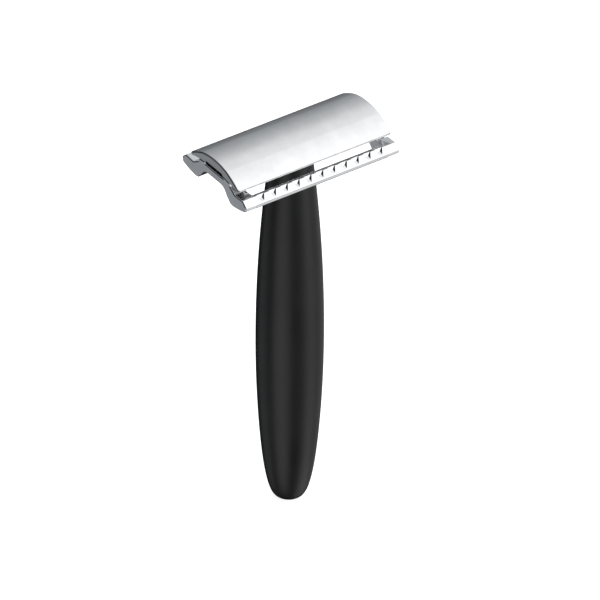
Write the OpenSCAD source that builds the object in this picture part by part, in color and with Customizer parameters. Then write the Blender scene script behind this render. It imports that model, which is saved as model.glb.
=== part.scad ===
// Three-piece double-edge safety razor without its blade: a ridged cap, a
// base plate with scalloped guard bars, and a round tapered handle.
// Millimetres. The origin is on the handle's axis, at the seat where the
// handle's top meets the base plate. +Z runs up through the cap, and +X
// runs along the head.

/* [Head] */
// Length of the head along X
head_l = 43; // [42.9:0.1:46]
// Width of the cap, edge to edge
cap_w = 19.5; // [19:0.1:20.4]
// Height of the cap's crown above the seat
cap_top = 7.5; // [7.3:0.1:7.8]
// Radius of the crown
crown_r = 16; // [15.6:0.1:18]
// Distance of each long crease from the middle
crease_y = 4.9; // [4.5:0.1:5.3]
// Radius of the cap's underside, which bends the blade
bend_r = 34; // [32:0.5:38]
// Width of the head over both guard bars
bar_w = 25.9; // [25.5:0.1:26.4]
// Length of the comb and of the drain slots
comb_l = 36.3; // [34:0.1:37]

/* [Comb] */
// Number of scallops in each guard bar
scallops = 11; // [9:1:11]
// Distance between scallops
scallop_pitch = 3.3; // [3.2:0.05:3.3]
// Width of each scallop's flat floor
scallop_w = 0.6; // [0.5:0.05:0.9]
// Slope of a scallop's floor below level, in degrees
scallop_slope = 17; // [12:1:20]

/* [Handle] */
// Length of the handle below the seat
handle_l = 95.6; // [80:0.1:120]
// Largest radius of the handle
handle_r = 8; // [7.8:0.1:8.6]
// Distance of the thickest place below the seat
belly_z = 50; // [48:1:54]
// Radius of the handle's side above the belly
upper_arc = 430; // [420:5:520]
// Radius of the handle's side below the belly
lower_arc = 356; // [340:2:420]

/* [Stud] */
// Outer radius of the threaded stud
stud_r = 2.45; // [2.4:0.01:2.46]
// Length of stud below the seat
stud_l = 7.2; // [6:0.1:9]
// Radius of each guide pin
pin_r = 1.4; // [1.2:0.05:1.45]
// Distance of each guide pin from the middle
pin_x = 11; // [10.5:0.1:11.5]

/* [Hidden] */

// Clearance between the cap's underside and the plate's seat
gap = 0.06;
// Crown of the cap's underside
under_top = 4.95;
// Height of the axis of the cap's underside
bend_z = under_top - bend_r;
// Height of the crease, and the slope from it down to the cap's edge
crease_z = cap_top - crown_r + sqrt(crown_r * crown_r - crease_y * crease_y);
edge_z = 4.1;
facet = (crease_z - edge_z) / (cap_w / 2 - crease_y);
// How far the slope bulges outwards in its middle
bulge = 0.15;
// Floor of the trough along the middle of the base plate
trough_z = 4.1;
trough_y = 3.7;
// Underside of the bed, and the outer edge of the bed
bed_under = 2.08;
bed_y = 8.3;
// Inner face of the guard bars, their flat top and its front edge
bar_in = 10.45;
land_z = 2.35;
land_y = 11.6;
// Where a scallop's head meets its floor, and the height there
head_y = 11.62;
floor_z = 1.62;
b = bar_w / 2;
// Collar that the handle's top seats against
collar_r = 5.6;
seat_gap = 0.02;

// A prism of a section drawn in Y and Z, centred on X
module along_x(len) {
    rotate([90, 0, 90]) linear_extrude(len, center = true) children();
}

// A round bar along X
module bar_x(r, len, z, fn = 240) {
    translate([0, 0, z]) rotate([0, 90, 0])
        cylinder(h = len, r = r, center = true, $fn = fn);
}

// One side of the roof, from the crease out to the cap's edge
function roof_side(sy) =
    [for (i = [0 : 8])
        let (t = i / 8, k = 4 * bulge * t * (1 - t), a = atan(facet))
        [sy * (crease_y + t * (cap_w / 2 - crease_y) + k * sin(a)),
         crease_z + t * (edge_z - crease_z) + k * cos(a)]];
function flip(v) = [for (i = [len(v) - 1 : -1 : 0]) v[i]];

// The cap: a crowned roof with a crease along each side, hollowed
// underneath to the radius that bends the blade
module top_cap() {
    ridge = crease_z + crease_y * facet;
    color([0.82, 0.83, 0.84])
    difference() {
        intersection() {
            bar_x(crown_r, head_l, cap_top - crown_r);
            along_x(head_l)
                polygon(concat([[-cap_w / 2, 2.9], [cap_w / 2, 2.9]],
                               flip(roof_side(1)), [[0, ridge]],
                               roof_side(-1)));
        }
        bar_x(bend_r, head_l + 2, bend_z, 480);
        // Relief in the underside at each end
        for (s = [-1, 1])
            translate([s * (head_l / 2 - 1), 0, 4.8])
                cube([6, 2 * trough_y - 0.4, 0.96], center = true);
        // Socket for the stud and the two pins
        translate([0, 0, 3]) cylinder(h = 3.2, r = stud_r, $fn = 48);
        for (s = [-1, 1])
            translate([s * pin_x, 0, 3])
                cylinder(h = 3, r = pin_r, $fn = 40);
    }
}

// The stud that draws the head together
module threaded_stud() {
    color([0.62, 0.63, 0.65])
    translate([0, 0, -stud_l]) {
        cylinder(h = 0.6, r1 = stud_r - 0.6, r2 = stud_r, $fn = 48);
        translate([0, 0, 0.6])
            cylinder(h = stud_l + 6.2 - 0.6, r = stud_r, $fn = 48);
    }
}

// A pin that lines up the cap and the base plate, and holds the blade
module guide_pin(s) {
    color([0.70, 0.71, 0.73])
    translate([s * pin_x, 0, 2.4]) {
        cylinder(h = 0.4, r1 = pin_r - 0.4, r2 = pin_r, $fn = 40);
        translate([0, 0, 0.4]) cylinder(h = 3.2, r = pin_r, $fn = 40);
    }
}
module guide_pin_left() { guide_pin(-1); }
module guide_pin_right() { guide_pin(1); }

// Section of the bed between the two drain slots
module bed_section() {
    polygon([[-bed_y, 6], [bed_y, 6], [bed_y, 2.7], [6.7, bed_under],
             [-6.7, bed_under], [-bed_y, 2.7]]);
}

// Section of the blocks that join the bed and the bars at each end
module end_half() {
    polygon([[-0.5, 6], [6.15, 6], [6.3, 3.35], [8.4, land_z - 0.2], [land_y, land_z],
             [b - 0.07, 1.15], [b, 0.9], [b - 0.2, 0],
             [12.43, -0.27], [11.4, -0.58], [9.8, -0.98], [8.2, -1.22],
             [7.3, -1.26], [6.5, -1.1], [5.9, -0.5], [5.2, 0.1],
             [4.6, 0.85], [4.1, 1.42], [3.4, 1.9], [2.6, 2.05],
             [-0.5, bed_under]]);
}

// Section of one guard bar
module bar_section() {
    polygon([[bar_in, land_z - 0.25], [bar_in + 0.12, land_z - 0.1],
             [land_y, land_z], [b - 0.07, 1.15],
             [b, 0.9], [b - 0.2, 0], [12.43, -0.27], [11.4, -0.58],
             [bar_in, -0.8]]);
}

// What one scallop takes away: a flared channel down the bar's front, with a
// steep head under the bar's flat top
module scallop_cut() {
    f = scallop_w / 2;
    translate([0, head_y, floor_z])
        intersection() {
            rotate([-scallop_slope, 0, 0]) translate([0, 3, 0])
                rotate([90, 0, 0]) linear_extrude(6)
                    polygon([[-f, 0], [f, 0], [f + 1.35, 1.35], [-f - 1.35, 1.35]]);
            rotate([22, 0, 0]) translate([-3, 0, -3]) cube([6, 5, 6]);
        }
}

// The base plate: bed, end blocks and two scalloped guard bars, one casting
module base_plate() {
    end_l = (head_l - comb_l) / 2;
    color([0.80, 0.81, 0.83])
    difference() {
        union() {
            intersection() {
                union() {
                    along_x(comb_l + 1) bed_section();
                    for (sx = [-1, 1], sy = [0, 1])
                        translate([sx * (head_l - end_l) / 2, 0, 0])
                            mirror([0, sy, 0]) along_x(end_l) end_half();
                }
                // Seat, to the curve of the cap's underside
                bar_x(bend_r - gap, head_l + 2, bend_z, 480);
            }
            for (sy = [0, 1])
                mirror([0, sy, 0]) difference() {
                    along_x(comb_l + 0.6) bar_section();
                    for (i = [0 : scallops - 1])
                        translate([(i - (scallops - 1) / 2) * scallop_pitch,
                                   0, 0])
                            scallop_cut();
                }
            translate([0, 0, seat_gap])
                cylinder(h = 3, r = collar_r, $fn = 96);
        }
        // Trough along the middle
        translate([-head_l / 2 - 1, -trough_y, trough_z])
            cube([head_l + 2, 2 * trough_y, 3]);
        // Holes for the stud and the pins
        translate([0, 0, -1]) cylinder(h = 8, r = stud_r + 0.15, $fn = 48);
        for (s = [-1, 1])
            translate([s * pin_x, 0, 0])
                cylinder(h = 8, r = pin_r + 0.1, $fn = 40);
    }
}

// Radius of the handle at a height below the seat
function side_r(z) =
    z > -belly_z
    ? handle_r - upper_arc + sqrt(upper_arc * upper_arc - pow(z + belly_z, 2))
    : handle_r - lower_arc + sqrt(lower_arc * lower_arc - pow(z + belly_z, 2));
// The end rounds off over the last third
round_from = 0.65;
function end_k(z) =
    let (t = max(0, (-z / handle_l - round_from) / (1 - round_from)))
    pow(max(0, 1 - pow(t, 6)), 1 / 6);
// Stations down the handle, closer together towards the rounded tip
function station(i, n) = -handle_l * sin(90 * i / n);

// The grip, with a blind socket for the insert
module handle_grip() {
    n = 44;
    color([0.10, 0.10, 0.10])
    difference() {
        rotate_extrude($fn = 96)
            polygon(concat([[0, 0]],
                [for (i = [0 : n - 1])
                    let (z = station(i, n)) [side_r(z) * end_k(z), z]],
                [[0, -handle_l]]));
        translate([0, 0, -12.4]) cylinder(h = 13, r = 3.9, $fn = 64);
    }
}

// The brass bush in the handle's top, with the thread for the stud
module threaded_insert() {
    color([0.78, 0.62, 0.30])
    translate([0, 0, -12.4])
        difference() {
            cylinder(h = 12.3, r = 3.9, $fn = 64);
            translate([0, 0, 2]) cylinder(h = 12, r = stud_r + 0.05, $fn = 48);
            translate([0, 0, 11.8])
                cylinder(h = 0.6, r1 = stud_r + 0.05, r2 = stud_r + 0.65,
                         $fn = 48);
        }
}

top_cap();
threaded_stud();
guide_pin_left();
guide_pin_right();
base_plate();
handle_grip();
threaded_insert();
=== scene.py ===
import bpy, math
from mathutils import Vector, Matrix


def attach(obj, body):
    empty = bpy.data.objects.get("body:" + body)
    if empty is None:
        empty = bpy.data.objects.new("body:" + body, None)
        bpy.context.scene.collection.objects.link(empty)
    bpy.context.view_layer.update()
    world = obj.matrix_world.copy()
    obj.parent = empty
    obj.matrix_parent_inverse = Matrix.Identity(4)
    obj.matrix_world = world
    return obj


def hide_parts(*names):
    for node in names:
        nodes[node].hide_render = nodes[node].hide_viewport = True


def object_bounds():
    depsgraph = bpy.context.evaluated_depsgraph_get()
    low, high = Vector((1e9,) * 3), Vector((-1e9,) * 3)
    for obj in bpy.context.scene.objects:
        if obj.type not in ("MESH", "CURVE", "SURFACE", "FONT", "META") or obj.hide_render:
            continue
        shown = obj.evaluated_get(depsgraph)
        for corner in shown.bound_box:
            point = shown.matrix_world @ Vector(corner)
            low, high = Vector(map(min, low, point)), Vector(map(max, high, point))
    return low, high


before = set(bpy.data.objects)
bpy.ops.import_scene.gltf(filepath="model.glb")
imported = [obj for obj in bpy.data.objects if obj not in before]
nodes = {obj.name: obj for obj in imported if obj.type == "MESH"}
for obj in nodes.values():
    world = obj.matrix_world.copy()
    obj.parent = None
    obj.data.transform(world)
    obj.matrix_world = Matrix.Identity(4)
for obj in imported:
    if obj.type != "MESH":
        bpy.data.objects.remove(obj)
CAD_BOX = [list(v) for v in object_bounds()]
MM = 0.001


# ---------------------------------------------------------------- helpers
def add_mesh(name, verts, faces, smooth_deg=32):
    """verts in millimetres"""
    me = bpy.data.meshes.new(name)
    me.from_pydata([(x * MM, y * MM, z * MM) for x, y, z in verts], [], faces)
    me.validate()
    me.update()
    o = bpy.data.objects.new(name, me)
    bpy.context.scene.collection.objects.link(o)
    soften(o, smooth_deg)
    return o


def soften(o, deg=32):
    me = o.data
    me.polygons.foreach_set("use_smooth", [True] * len(me.polygons))
    me.set_sharp_from_angle(angle=math.radians(deg))
    me.update()


def even(o):
    """Keeps flat faces flat where they run into a small rounding"""
    m = o.modifiers.new("even", "WEIGHTED_NORMAL")
    m.keep_sharp = True
    m.weight = 60


def recalc(o):
    import bmesh
    bm = bmesh.new()
    bm.from_mesh(o.data)
    bmesh.ops.remove_doubles(bm, verts=bm.verts, dist=1e-7)
    bmesh.ops.recalc_face_normals(bm, faces=bm.faces)
    if bm.calc_volume(signed=True) < 0:
        bmesh.ops.reverse_faces(bm, faces=bm.faces)
    bm.to_mesh(o.data)
    bm.free()
    o.data.update()


def corner_loop(pts, seg=5):
    """A closed loop of (y, z, r): corners with r > 0 are rounded with an arc."""
    out = []
    n = len(pts)
    for i in range(n):
        a, b, c = Vector(pts[i - 1][:2]), Vector(pts[i][:2]), Vector(pts[(i + 1) % n][:2])
        r = pts[i][2] if len(pts[i]) > 2 else 0
        if r <= 0:
            out.append(tuple(b))
            continue
        u, v = (a - b).normalized(), (c - b).normalized()
        half = math.acos(max(-1, min(1, u.dot(v)))) / 2
        t = r / math.tan(half)
        t = min(t, 0.49 * (a - b).length, 0.49 * (c - b).length)
        r = t * math.tan(half)
        centre = b + (u + v).normalized() * (r / math.sin(half))
        p0, p1 = b + u * t - centre, b + v * t - centre
        a0, a1 = math.atan2(p0.y, p0.x), math.atan2(p1.y, p1.x)
        d = (a1 - a0 + math.pi) % (2 * math.pi) - math.pi
        for k in range(seg + 1):
            w = a0 + d * k / seg
            out.append((centre.x + r * math.cos(w), centre.y + r * math.sin(w)))
    return out


def normals2(loop):
    """Outward miter normals of an anticlockwise closed loop"""
    n = len(loop)
    out = []
    for i in range(n):
        a, b, c = Vector(loop[i - 1]), Vector(loop[i]), Vector(loop[(i + 1) % n])
        e0, e1 = (b - a), (c - b)
        if e0.length < 1e-9: e0 = e1
        if e1.length < 1e-9: e1 = e0
        n0 = Vector((e0.y, -e0.x)).normalized()
        n1 = Vector((e1.y, -e1.x)).normalized()
        m = (n0 + n1)
        m = m.normalized() if m.length > 1e-6 else n0
        out.append(m * min(1.3, 1 / max(0.3, m.dot(n0))))
    return out


def untangle(loop, reach=26):
    """Draws the small loops that an inset leaves at tight corners to one point"""
    n = len(loop)
    out = list(loop)
    def side(a, b, c): return (b[0] - a[0]) * (c[1] - a[1]) - (b[1] - a[1]) * (c[0] - a[0])
    for again in range(3):
        i = 0
        while i < n:
            p, q = out[i], out[(i + 1) % n]
            for step in range(reach, 1, -1):
                u, v = out[(i + step) % n], out[(i + step + 1) % n]
                s1, s2, s3, s4 = side(p, q, u), side(p, q, v), side(u, v, p), side(u, v, q)
                if s1 * s2 < 0 and s3 * s4 < 0:
                    t = s1 / (s1 - s2)
                    c = (u[0] + (v[0] - u[0]) * t, u[1] + (v[1] - u[1]) * t)
                    for m in range(1, step + 1):
                        out[(i + m) % n] = c
                    break
            i += 1
    return out


def area2(loop):
    return sum(loop[i - 1][0] * loop[i][1] - loop[i][0] * loop[i - 1][1] for i in range(len(loop))) / 2


def loft_x(name, loop, x0, x1, r0=0.0, r1=0.0, steps=6, mid=1, warp=None, radius=None):
    """A bar along X of one section, with its end outlines rounded by r0 and r1.
    radius(y, z) scales the rounding at a point of the section."""
    if area2(loop) < 0:
        loop = loop[::-1]
    nrm = normals2(loop)
    k = [radius(*p) if radius else 1.0 for p in loop]
    rows = []
    inner = {r: untangle([(y - n.x * r * q, z - n.y * r * q) for (y, z), n, q in zip(loop, nrm, k)]) for r in (r0, r1)}
    def ring(x_end, sgn, r, phi):
        row = []
        d = 1 - math.sin(phi)
        for (y, z), (iy, iz), q in zip(loop, inner[r], k):
            rr = r * q
            row.append((x_end - sgn * (rr - rr * math.cos(phi)), y + (iy - y) * d, z + (iz - z) * d))
        return row
    if r0 > 0:
        for i in range(steps):
            rows.append(ring(x0, -1, r0, math.pi / 2 * i / steps))
    rows.append([(x0 + r0 * q, y, z) for (y, z), q in zip(loop, k)])
    for i in range(1, mid):
        t = i / mid
        rows.append([((x0 + r0) * (1 - t) + (x1 - r1) * t, y, z) for y, z in loop])
    rows.append([(x1 - r1 * q, y, z) for (y, z), q in zip(loop, k)])
    if r1 > 0:
        for i in range(steps - 1, -1, -1):
            rows.append(ring(x1, 1, r1, math.pi / 2 * i / steps))
    return skin(name, rows, warp)


def skin(name, rows, warp=None, smooth_deg=32):
    n = len(rows[0])
    verts = [p for row in rows for p in row]
    if warp:
        verts = [warp(*p) for p in verts]
    faces = []
    for i in range(len(rows) - 1):
        for j in range(n):
            a, b = i * n + j, i * n + (j + 1) % n
            faces.append((a, b, b + n, a + n))
    faces.append(tuple(range(n))[::-1])
    faces.append(tuple((len(rows) - 1) * n + j for j in range(n)))
    o = add_mesh(name, verts, faces, smooth_deg)
    recalc(o)
    soften(o, smooth_deg)
    return o


def lathe(name, prof, seg=96, at=(0, 0), smooth_deg=32):
    """prof: (r, z) from one end on the axis to the other end on the axis"""
    verts, faces, rings = [], [], []
    for r, z in prof:
        if r < 1e-6:
            rings.append([len(verts)])
            verts.append((at[0], at[1], z))
        else:
            ring = []
            for i in range(seg):
                w = 2 * math.pi * i / seg
                ring.append(len(verts))
                verts.append((at[0] + r * math.cos(w), at[1] + r * math.sin(w), z))
            rings.append(ring)
    for a, b in zip(rings, rings[1:]):
        for i in range(seg):
            j = (i + 1) % seg
            if len(a) == 1 and len(b) == 1: continue
            if len(a) == 1: faces.append((a[0], b[i], b[j]))
            elif len(b) == 1: faces.append((a[i], a[j], b[0]))
            else: faces.append((a[i], a[j], b[j], b[i]))
    o = add_mesh(name, verts, faces, smooth_deg)
    recalc(o)
    soften(o, smooth_deg)
    return o


def boolean(o, other, op):
    m = o.modifiers.new("b", "BOOLEAN")
    m.operation = op
    m.object = other
    try:
        m.solver = "MANIFOLD"
    except TypeError:
        m.solver = "EXACT"
    dg = bpy.context.evaluated_depsgraph_get()
    me = bpy.data.meshes.new_from_object(o.evaluated_get(dg))
    o.modifiers.clear()
    old = o.data
    o.data = me
    bpy.data.meshes.remove(old)
    bpy.data.objects.remove(other)


# ---------------------------------------------------------------- sizes, in mm
L = 43.0
CAP_W = 19.5
CROWN_R, CAP_TOP, CREASE_Y, EDGE_Z = 16.0, 7.5, 4.9, 4.1
BEND_R, UNDER_TOP = 34.0, 4.95
BEND_Z = UNDER_TOP - BEND_R
COMB_L = 36.3
PITCH, COUNT = 3.3, 11


def crown(y): return CAP_TOP - CROWN_R + math.sqrt(CROWN_R ** 2 - y * y)
def under(y, r=BEND_R): return BEND_Z + math.sqrt(r * r - y * y)


CREASE_Z = crown(CREASE_Y)

# ---------------------------------------------------------------- cap
h = CAP_W / 2
# The slope from the crease to the edge bulges a little
BULGE = 0.145
slope_a = math.atan((CREASE_Z - EDGE_Z) / (h - CREASE_Y))
roof = []
for i in range(17):
    q = i / 16
    k = 4 * BULGE * q * (1 - q)
    roof.append((CREASE_Y + q * (h - CREASE_Y) + k * math.sin(slope_a), CREASE_Z + q * (EDGE_Z - CREASE_Z) + k * math.cos(slope_a)))
cap_pts = []
cap_pts.append((h, under(h), 0.10))
cap_pts.append((h, EDGE_Z, 0.14))
cap_pts += [(y, z, 0) for y, z in roof[1:-1][::-1]]
cap_pts.append((CREASE_Y, CREASE_Z, 0.12))
for i in range(1, 24):
    y = CREASE_Y - 2 * CREASE_Y * i / 24
    cap_pts.append((y, crown(y), 0))
cap_pts.append((-CREASE_Y, CREASE_Z, 0.12))
cap_pts += [(-y, z, 0) for y, z in roof[1:-1]]
cap_pts.append((-h, EDGE_Z, 0.14))
cap_pts.append((-h, under(h), 0.10))
for i in range(1, 40):
    y = -h + CAP_W * i / 40
    cap_pts.append((y, under(y), 0))
cap_loop = corner_loop(cap_pts, 5)


def cap_round(y, z):
    if z < under(min(abs(y), h)) + 0.35: return 0.25
    return max(0.35, min(1.0, (h + 0.4 - abs(y)) / 1.5))


def cap_warp(x, y, z):
    # the cap's four corners are rounded when seen from above
    r = 0.9
    e = abs(y) - (h - r)
    if e > 0:
        cut = r - math.sqrt(max(0, r * r - min(e, r * 0.98) ** 2))
        w = max(0.0, min(1.0, (abs(x) - (L / 2 - 3.0)) / 3.0))
        x = x - math.copysign(cut * w * 0.7, x)
    return x, y, z


cap = loft_x("cap_shell", cap_loop, -L / 2, L / 2, 0.42, 0.42, steps=6, mid=8, warp=cap_warp, radius=cap_round)
for s in (-1, 1):
    relief = [(-3.5, 3.0, 0), (3.5, 3.0, 0), (3.5, 5.0, 0), (3.1, 5.28, 0), (-3.1, 5.28, 0), (-3.5, 5.0, 0)]
    x0, x1 = sorted((s * (L / 2 - 4.0), s * (L / 2 + 1)))
    boolean(cap, loft_x("relief", corner_loop(relief), x0, x1), "DIFFERENCE")
soften(cap, 30)
even(cap)

# ---------------------------------------------------------------- base plate
B = 12.95
end_half = [(6.15, 99, 0.25), (6.32, 3.45, 0.3), (8.40, 2.15, 0.4), (11.55, 2.35, 0.22),
            (12.88, 1.15, 0.2), (B, 0.9, 0.12), (12.75, 0.0, 0.3), (12.43, -0.27, 0.2), (11.4, -0.58, 0.6), (9.8, -0.98, 0.8),
            (8.2, -1.22, 0.6), (7.3, -1.26, 0.5), (6.5, -1.1, 0.4), (5.9, -0.5, 0.5), (5.2, 0.1, 0.5),
            (4.6, 0.85, 0.5), (4.1, 1.42, 0.5), (3.4, 1.9, 0.5), (2.6, 2.05, 0.3)]
SEAT_R = BEND_R - 0.06


def seat(y): return BEND_Z + math.sqrt(SEAT_R ** 2 - y * y)


top = [(3.7, 4.1, 0.0), (3.72, seat(3.72), 0.18)] + [(y, seat(y), 0) for y in (4.3, 5.0, 5.6)] + [(6.12, seat(6.12), 0.2)]
right = top + end_half[1:]
loop = [(y, z, r) for y, z, r in right] + [(-y, z, r) for y, z, r in reversed(right)]
end_loop = corner_loop(loop, 4)


def end_round(y, z):
    return 1.0 if z > 0.5 else 0.7


parts = []
for s in (-1, 1):
    a, b = sorted((s * COMB_L / 2, s * L / 2))
    ra, rb = (0.34, 0.12) if s < 0 else (0.12, 0.34)
    parts.append(loft_x("end", end_loop, a, b, ra, rb, steps=5, mid=2, radius=end_round))

bed_half = [(3.7, 4.1, 0), (3.72, seat(3.72), 0.18)] + [(y, seat(y), 0) for y in (4.4, 5.2, 6.0, 6.8, 7.5)] + \
           [(8.28, seat(8.28), 0.2), (8.3, 2.75, 0.25), (6.7, 2.1, 0.3)]
loop = bed_half + [(-y, z, r) for y, z, r in reversed(bed_half)]
parts.append(loft_x("bed", corner_loop(loop, 4), -COMB_L / 2 - 0.6, COMB_L / 2 + 0.6, mid=2))

# Guard bars: a section swept along X, with the scallops cut as a height field
IN, LAND, LAND_Y = 10.45, 2.35, 11.6
HEAD_Y, FLOOR_Z, FLOOR_W = 11.62, 1.62, 0.3
S_TAN, HEAD_TAN = math.tan(math.radians(17)), 1 / math.tan(math.radians(22))


def scallop_floor(x, y):
    """Height of the scallop's floor over (x, y), or a big number outside it"""
    k = round(x / PITCH)
    if abs(k) > COUNT // 2: return 99
    dx = abs(x - k * PITCH)
    d = dx - FLOOR_W
    rise = 0 if d < -0.04 else (d if d > 0.04 else (d + 0.04) ** 2 / 0.16)
    run = FLOOR_Z - (y - HEAD_Y) * S_TAN
    head = FLOOR_Z - (y - HEAD_Y) * HEAD_TAN
    return max(run + rise, head)


def soft_min(a, b, k):
    if abs(a - b) >= k: return min(a, b)
    t = 0.5 + 0.5 * (b - a) / k
    return b + (a - b) * t - k * t * (1 - t)


bar_top = [(IN, 2.10), (IN + 0.02, 2.165), (IN + 0.06, 2.215), (IN + 0.12, 2.25)]
bar_front = [(IN + 0.12 + (11.50 - IN - 0.12) * i / 16, 2.25 + (LAND - 2.25) * i / 16) for i in range(1, 17)]
slope = [(11.56, 2.34), (11.63, 2.305), (11.70, 2.25)]
slope += [(11.70 + (12.80 - 11.70) * i / 20, 2.25 + (1.225 - 2.25) * i / 20) for i in range(1, 21)]
nose = [(12.86, 1.15), (12.92, 1.03), (B, 0.88), (12.92, 0.6), (12.86, 0.3), (12.77, 0.05), (12.66, -0.12), (12.5, -0.24), (12.35, -0.3)]
flat = bar_top + bar_front + slope
for s in (-1, 1):
    rows = []
    n = 680
    for i in range(n + 1):
        x = -COMB_L / 2 - 0.3 + (COMB_L + 0.6) * i / n
        row = []
        for y, z in flat:
            row.append((x, s * y, soft_min(z, scallop_floor(x, y), 0.05)))
        for y, z in nose:
            row.append((x, s * y, min(z, max(scallop_floor(x, y), -0.2))))
        row.append((x, s * 11.4, -0.58))
        row.append((x, s * (IN + 0.15), -0.78))
        row.append((x, s * IN, -0.66))
        row.append((x, s * IN, 0.6))
        row.append((x, s * IN, 1.6))
        rows.append(row)
    parts.append(skin("bar", rows, smooth_deg=40))

parts.append(lathe("collar", [(0, 3.4), (5.6, 3.4), (5.6, 0.22), (5.55, 0.09), (5.4, 0.02), (0, 0.02)], 96))
plate = parts[0]
plate.name = "guard_plate"
for p in parts[1:]:
    boolean(plate, p, "UNION")
boolean(plate, lathe("hole", [(0, -1), (2.6, -1), (2.6, 7), (0, 7)], 64), "DIFFERENCE")
for s in (-1, 1):
    boolean(plate, lathe("hole", [(0, 1), (1.5, 1), (1.5, 7), (0, 7)], 48, at=(s * 11, 0)), "DIFFERENCE")
soften(plate, 34)
even(plate)


# ---------------------------------------------------------------- handle
HL, HR, BELLY = 95.6, 8.0, 50.0


def side_r(z):
    arc = 430 if z > -BELLY else 356
    r = HR - arc + math.sqrt(arc * arc - (z + BELLY) ** 2)
    t = max(0.0, (-z / HL - 0.65) / 0.35)
    return r * max(0.0, 1 - t ** 6) ** (1 / 6)


prof = [(0, -12.4), (3.9, -12.4), (3.9, -0.3), (4.05, -0.06), (4.2, 0.0)]
r_top = side_r(0)
prof += [(r_top - 0.35, 0.0), (r_top - 0.16, -0.05), (r_top - 0.05, -0.18), (side_r(-0.4), -0.4)]
for i in range(1, 150):
    z = -0.4 - (HL - 0.4) * math.sin(math.pi / 2 * i / 150)
    prof.append((side_r(z), z))
prof.append((0, -HL))
grip = lathe("grip_body", prof, 128, smooth_deg=40)


# ---------------------------------------------------------------- threads
def thread(name, r_out, r_in, z0, z1, pitch=0.8, seg=64, inside=None):
    """A rod with a helical thread. With inside, a bush of that outer radius with the thread in its bore."""
    step = pitch / 10
    n = int((z1 - z0) / step)
    rows = []
    for i in range(n + 1):
        z = z0 + (z1 - z0) * i / n
        row = []
        for j in range(seg):
            w = 2 * math.pi * j / seg
            f = (z / pitch - j / seg) % 1.0
            t = 1 - abs(2 * f - 1)
            t = min(1.0, max(0.0, (t - 0.1) / 0.75))
            lead = min(1.0, (z - z0) / pitch, (z1 - z) / pitch + (0.0 if inside is None else 1.0))
            if inside is None:
                r = r_in + (r_out - r_in) * t
                r = min(r, r_in - 0.15 + (r_out - r_in + 0.15) * min(1.0, max(0.0, (z - z0) / 0.9)) ** 0.7)
            else:
                r = r_in + (r_out - r_in) * t
            row.append((r * math.cos(w), r * math.sin(w), z))
        rows.append(row)
    if inside is None:
        return skin(name, rows, smooth_deg=50)
    verts = [p for row in rows for p in row]
    faces = []
    m = len(rows)
    for i in range(m - 1):
        for j in range(seg):
            a, b = i * seg + j, i * seg + (j + 1) % seg
            faces.append((a, a + seg, b + seg, b))
    base = len(verts)
    outer = [(inside, z0), (inside, z1)]
    def ring(r, z):
        k = len(verts)
        for j in range(seg):
            w = 2 * math.pi * j / seg
            verts.append((r * math.cos(w), r * math.sin(w), z))
        return k
    chain = [ (m - 1) * seg, ring(r_out + 0.5, z1 + 0.45), ring(inside - 0.15, z1 + 0.45), ring(inside, z1 + 0.3),
              ring(inside, -12.3), ring(inside - 0.1, -12.4)]
    for a, b in zip(chain, chain[1:]):
        for j in range(seg):
            q = (j + 1) % seg
            faces.append((a + j, b + j, b + q, a + q))
    faces.append(tuple(chain[-1] + j for j in range(seg)))
    faces.append(tuple(j for j in range(seg)))
    o = add_mesh(name, verts, faces, 50)
    recalc(o)
    soften(o, 50)
    return o


stud = thread("stud_thread", 2.45, 2.0, -7.2, 5.9)
bush = thread("insert_bush", 2.9, 2.5, -10.4, -0.55, inside=3.9)


def pin(name, x):
    p = [(0, 2.4), (0.9, 2.4), (1.15, 2.46), (1.33, 2.62), (1.4, 2.9), (1.4, 5.7), (0, 5.7)]
    return lathe(name, p, 48, at=(x, 0))


pin_l, pin_r = pin("locating_pin_left", -11), pin("locating_pin_right", 11)

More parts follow.
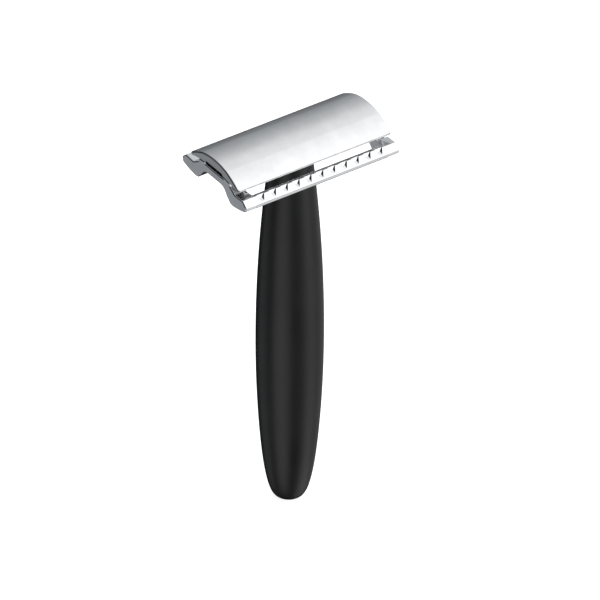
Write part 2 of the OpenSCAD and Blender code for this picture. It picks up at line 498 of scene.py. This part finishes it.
# ---------------------------------------------------------------- materials
class Mat:
    def __init__(self, name):
        m = bpy.data.materials.new(name)
        m.use_nodes = True
        self.m, self.t = m, m.node_tree
        self.t.nodes.clear()
        self.out = self.node("ShaderNodeOutputMaterial")
        self.p = self.node("ShaderNodeBsdfPrincipled")
        self.link(self.p, "BSDF", self.out, "Surface")
        self.co = self.node("ShaderNodeTexCoord")

    def node(self, kind, **kw):
        n = self.t.nodes.new(kind)
        for k, v in kw.items():
            setattr(n, k, v)
        return n

    def link(self, a, ao, b, bi):
        self.t.links.new(a.outputs[ao], b.inputs[bi])

    def set(self, **kw):
        for k, v in kw.items():
            self.p.inputs[k.replace("_", " ")].default_value = v

    def mapping(self, scale=(1, 1, 1)):
        mp = self.node("ShaderNodeMapping")
        mp.inputs["Scale"].default_value = scale
        self.link(self.co, "Object", mp, "Vector")
        return mp

    def noise(self, scale, detail=4, rough=0.55, stretch=(1, 1, 1)):
        mp = self.mapping(stretch)
        n = self.node("ShaderNodeTexNoise")
        n.inputs["Scale"].default_value = scale
        n.inputs["Detail"].default_value = detail
        n.inputs["Roughness"].default_value = rough
        self.link(mp, "Vector", n, "Vector")
        return n

    def ramp(self, src, out, lo, hi, c0, c1):
        r = self.node("ShaderNodeValToRGB")
        r.color_ramp.elements[0].position = lo
        r.color_ramp.elements[1].position = hi
        r.color_ramp.elements[0].color = (*c0, 1)
        r.color_ramp.elements[1].color = (*c1, 1)
        self.link(src, out, r, "Fac")
        return r

    def rng(self, src, out, a, b, lo, hi):
        r = self.node("ShaderNodeMapRange")
        r.inputs["From Min"].default_value = a
        r.inputs["From Max"].default_value = b
        r.inputs["To Min"].default_value = lo
        r.inputs["To Max"].default_value = hi
        self.link(src, out, r, "Value")
        return r

    def bump(self, src, out, strength, dist, prev=None):
        b = self.node("ShaderNodeBump")
        b.inputs["Strength"].default_value = strength
        b.inputs["Distance"].default_value = dist
        self.link(src, out, b, "Height")
        if prev:
            self.link(prev, "Normal", b, "Normal")
        return b


def satin(name, c0, c1, r0, r1, grain=7000, strength=0.12, brush=None):
    k = Mat(name)
    k.set(Metallic=1.0)
    cloud = k.noise(220, 5, 0.6)
    col = k.ramp(cloud, "Fac", 0.35, 0.68, c0, c1)
    k.link(col, "Color", k.p, "Base Color")
    fine = k.noise(grain, 3, 0.6, brush or (1, 1, 1))
    smear = k.noise(90, 4, 0.55, (1, 2.2, 1))
    mix = k.node("ShaderNodeMix", data_type="FLOAT")
    mix.inputs[0].default_value = 0.5
    k.link(fine, "Fac", mix, 2)
    k.link(smear, "Fac", mix, 3)
    rough = k.rng(mix, 0, 0.3, 0.7, r0, r1)
    k.link(rough, "Result", k.p, "Roughness")
    b = k.bump(fine, "Fac", strength, 0.00002)
    k.link(b, "Normal", k.p, "Normal")
    return k.m


CAP = satin("satin_chrome", (0.72, 0.73, 0.74), (0.80, 0.805, 0.815), 0.27, 0.36, 6500, 0.16)
PLATE = satin("bright_chrome", (0.78, 0.785, 0.80), (0.86, 0.865, 0.875), 0.15, 0.24, 5000, 0.08)
STEEL = satin("machined_steel", (0.50, 0.51, 0.53), (0.60, 0.61, 0.63), 0.24, 0.36, 4200, 0.15, (1, 1, 6))
PIN = satin("pin_chrome", (0.66, 0.67, 0.69), (0.74, 0.75, 0.77), 0.2, 0.3, 4200, 0.1)
BRASS = satin("machined_brass", (0.66, 0.47, 0.20), (0.78, 0.58, 0.28), 0.24, 0.36, 4200, 0.15, (1, 1, 6))


def handle_material():
    """Smooth moulded black with a fine satin grain and faint handling marks"""
    k = Mat("satin_black")
    k.set(Metallic=0.0)
    k.p.inputs["IOR"].default_value = 1.5
    cloud = k.noise(60, 5, 0.6)
    col = k.ramp(cloud, "Fac", 0.3, 0.72, (0.0040, 0.0040, 0.0041), (0.0070, 0.0068, 0.0066))
    k.link(col, "Color", k.p, "Base Color")
    fine = k.noise(5200, 3, 0.6)
    marks = k.noise(130, 5, 0.65, (1, 1, 0.35))
    mix = k.node("ShaderNodeMix", data_type="FLOAT")
    mix.inputs[0].default_value = 0.65
    k.link(fine, "Fac", mix, 2)
    k.link(marks, "Fac", mix, 3)
    rough = k.rng(mix, 0, 0.3, 0.7, 0.33, 0.45)
    k.link(rough, "Result", k.p, "Roughness")
    b = k.bump(fine, "Fac", 0.10, 0.00003)
    k.link(b, "Normal", k.p, "Normal")
    return k.m


def wear(o, material):
    o.data.materials.clear()
    o.data.materials.append(material)
    for p in o.data.polygons:
        p.material_index = 0


pieces = [(cap, CAP, "cap", "top_cap", "cap_metal"), (plate, PLATE, "plate", "base_plate", "plate_metal"),
          (grip, handle_material(), "handle", "handle_grip", "handle_black"),
          (bush, BRASS, "handle", "threaded_insert", "insert_brass"),
          (stud, STEEL, "cap", "threaded_stud", "stud_steel"),
          (pin_l, PIN, "cap", "guide_pin_left", "pin_metal"), (pin_r, PIN, "cap", "guide_pin_right", "pin_metal")]
for o, m, body, node, slot in pieces:
    wear(o, m)
    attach(o, body)
    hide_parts(node)

# ---------------------------------------------------------------- stage
floor_z = CAD_BOX[0][2]
bpy.ops.mesh.primitive_plane_add(size=6, location=(0, 0, floor_z - 0.0002))
floor = bpy.context.object
floor.name = "floor"
fm = bpy.data.materials.new("pale_floor")
fm.use_nodes = True
t = fm.node_tree
t.nodes.clear()
o_ = t.nodes.new("ShaderNodeOutputMaterial")
d_ = t.nodes.new("ShaderNodeBsdfDiffuse")
d_.inputs["Color"].default_value = (0.9, 0.9, 0.9, 1)
e_ = t.nodes.new("ShaderNodeEmission")
e_.inputs["Color"].default_value = (1, 1, 1, 1)
e_.inputs["Strength"].default_value = 0.85
a_ = t.nodes.new("ShaderNodeAddShader")
t.links.new(d_.outputs[0], a_.inputs[0])
t.links.new(e_.outputs[0], a_.inputs[1])
t.links.new(a_.outputs[0], o_.inputs["Surface"])
floor.data.materials.append(fm)
floor.visible_glossy = False

# Soft studio surround: bright from the front, right and above, darker behind and to the left
w = bpy.data.worlds.new("studio")
bpy.context.scene.world = w
w.use_nodes = True
t = w.node_tree
t.nodes.clear()
out = t.nodes.new("ShaderNodeOutputWorld")
tc = t.nodes.new("ShaderNodeTexCoord")


def facing(axis):
    dot = t.nodes.new("ShaderNodeVectorMath")
    dot.operation = "DOT_PRODUCT"
    dot.inputs[1].default_value = Vector(axis).normalized()
    t.links.new(tc.outputs["Generated"], dot.inputs[0])
    return dot.outputs["Value"]


def gradient(axis, stops):
    mr = t.nodes.new("ShaderNodeMapRange")
    mr.inputs["From Min"].default_value = -1
    mr.inputs["From Max"].default_value = 1
    t.links.new(facing(axis), mr.inputs["Value"])
    r = t.nodes.new("ShaderNodeValToRGB")
    r.color_ramp.interpolation = "B_SPLINE" if len(stops) < 4 else "EASE"
    el = r.color_ramp.elements
    while len(el) > 1:
        el.remove(el[0])
    for i, (d, c) in enumerate(stops):
        e = el[0] if i == 0 else el.new((d + 1) / 2)
        e.position = (d + 1) / 2
        e.color = (*(c if isinstance(c, tuple) else (c, c, c)), 1)
    t.links.new(mr.outputs["Result"], r.inputs["Fac"])
    return r.outputs["Color"]


def pool(axis, outer, inner, level, tint=(1, 1, 1)):
    """A soft round light: nothing outside outer degrees, full inside inner degrees"""
    mr = t.nodes.new("ShaderNodeMapRange")
    mr.interpolation_type = "SMOOTHSTEP"
    mr.inputs["From Min"].default_value = math.cos(math.radians(outer))
    mr.inputs["From Max"].default_value = math.cos(math.radians(inner))
    mr.inputs["To Max"].default_value = level
    t.links.new(facing(axis), mr.inputs["Value"])
    vm = t.nodes.new("ShaderNodeVectorMath")
    vm.operation = "SCALE"
    vm.inputs[0].default_value = tint
    t.links.new(mr.outputs["Result"], vm.inputs["Scale"])
    return vm.outputs["Vector"]


def add(a, b):
    m = t.nodes.new("ShaderNodeVectorMath")
    m.operation = "ADD"
    t.links.new(a, m.inputs[0])
    t.links.new(b, m.inputs[1])
    return m.outputs["Vector"]


def below(vec, start, end, keep):
    """Dims everything under the horizon to keep"""
    sep = t.nodes.new("ShaderNodeSeparateXYZ")
    t.links.new(tc.outputs["Generated"], sep.inputs[0])
    mr = t.nodes.new("ShaderNodeMapRange")
    mr.interpolation_type = "SMOOTHSTEP"
    mr.inputs["From Min"].default_value = end
    mr.inputs["From Max"].default_value = start
    mr.inputs["To Min"].default_value = keep
    mr.inputs["To Max"].default_value = 1.0
    t.links.new(sep.outputs["Z"], mr.inputs["Value"])
    vm = t.nodes.new("ShaderNodeVectorMath")
    vm.operation = "SCALE"
    t.links.new(vec, vm.inputs[0])
    t.links.new(mr.outputs["Result"], vm.inputs["Scale"])
    return vm.outputs["Vector"]


def shade(vec, axis, outer, inner, keep):
    """A soft dark flag: dims what lies inside it to keep"""
    mr = t.nodes.new("ShaderNodeMapRange")
    mr.interpolation_type = "SMOOTHSTEP"
    mr.inputs["From Min"].default_value = math.cos(math.radians(outer))
    mr.inputs["From Max"].default_value = math.cos(math.radians(inner))
    mr.inputs["To Min"].default_value = 1.0
    mr.inputs["To Max"].default_value = keep
    t.links.new(facing(axis), mr.inputs["Value"])
    vm = t.nodes.new("ShaderNodeVectorMath")
    vm.operation = "SCALE"
    t.links.new(vec, vm.inputs[0])
    t.links.new(mr.outputs["Result"], vm.inputs["Scale"])
    return vm.outputs["Vector"]


COOL = (0.95, 1.0, 1.05)
total = gradient((0.6, -0.4, 0.7), [(-1.0, 0.02), (-0.6, 0.04), (-0.3, (0.115, 0.12, 0.127)), (-0.02, (0.285, 0.30, 0.315)),
                                    (0.41, (0.575, 0.585, 0.60)), (0.63, 0.97), (0.80, 1.04), (0.88, 1.10), (0.93, 1.32), (1.0, 1.6)])
total = below(total, -0.05, -0.5, 0.35)
total = shade(total, (-0.85, -0.05, 0.50), 52, 30, 0.10)
total = shade(total, (-0.45, 0.85, -0.10), 46, 20, 0.15)
for axis, outer, inner, level, tint in [
        ((-0.54, 0.60, -0.58), 26, 9, 0.31, COOL),
        ((-0.73, -0.36, -0.58), 33, 8, 0.95, (1, 1, 1)),
        ((0.85, 0.25, -0.45), 35, 10, 0.20, (1.04, 1.0, 0.97)),
        ((0.47, -0.72, -0.50), 17, 5, 0.30, (1, 1, 1)),
        ((0.45, -0.88, 0.02), 37, 14, 0.50, (1, 1, 1)),
        ((0.80, 0.54, -0.26), 19, 7, 0.60, (1, 1, 1)),
        ((0.45, -0.36, -0.81), 25, 8, 0.68, (1, 1, 1))]:
    total = add(total, pool(axis, outer, inner, level, tint))
lp = t.nodes.new("ShaderNodeLightPath")
bg0 = t.nodes.new("ShaderNodeBackground")
t.links.new(total, bg0.inputs["Color"])
bg1 = t.nodes.new("ShaderNodeBackground")
bg1.inputs["Color"].default_value = (1, 1, 1, 1)
mx = t.nodes.new("ShaderNodeMixShader")
t.links.new(lp.outputs["Is Camera Ray"], mx.inputs[0])
t.links.new(bg0.outputs[0], mx.inputs[1])
t.links.new(bg1.outputs[0], mx.inputs[2])
t.links.new(mx.outputs[0], out.inputs["Surface"])

# ---------------------------------------------------------------- camera
AZ, EL, ROLL = math.radians(-34.9145), math.radians(35.0385), math.radians(0.3976)
back = Vector((math.sin(AZ) * math.cos(EL), -math.cos(AZ) * math.cos(EL), math.sin(EL)))
right_ = Vector((math.cos(AZ), math.sin(AZ), 0))
up_ = back.cross(right_)
r2 = right_ * math.cos(ROLL) + up_ * math.sin(ROLL)
u2 = -right_ * math.sin(ROLL) + up_ * math.cos(ROLL)
cam_data = bpy.data.cameras.new("camera")
cam = bpy.data.objects.new("camera", cam_data)
bpy.context.scene.collection.objects.link(cam)
m = Matrix((r2, u2, back)).transposed().to_4x4()
m.translation = Vector((-1.41775, -2.03527, 1.69896))
cam.matrix_world = m
cam_data.sensor_width = 36
cam_data.lens = 783.138
cam_data.clip_start = 0.1
cam_data.clip_end = 20
bpy.context.scene.camera = cam
bpy.context.scene.view_settings.view_transform = "Standard"
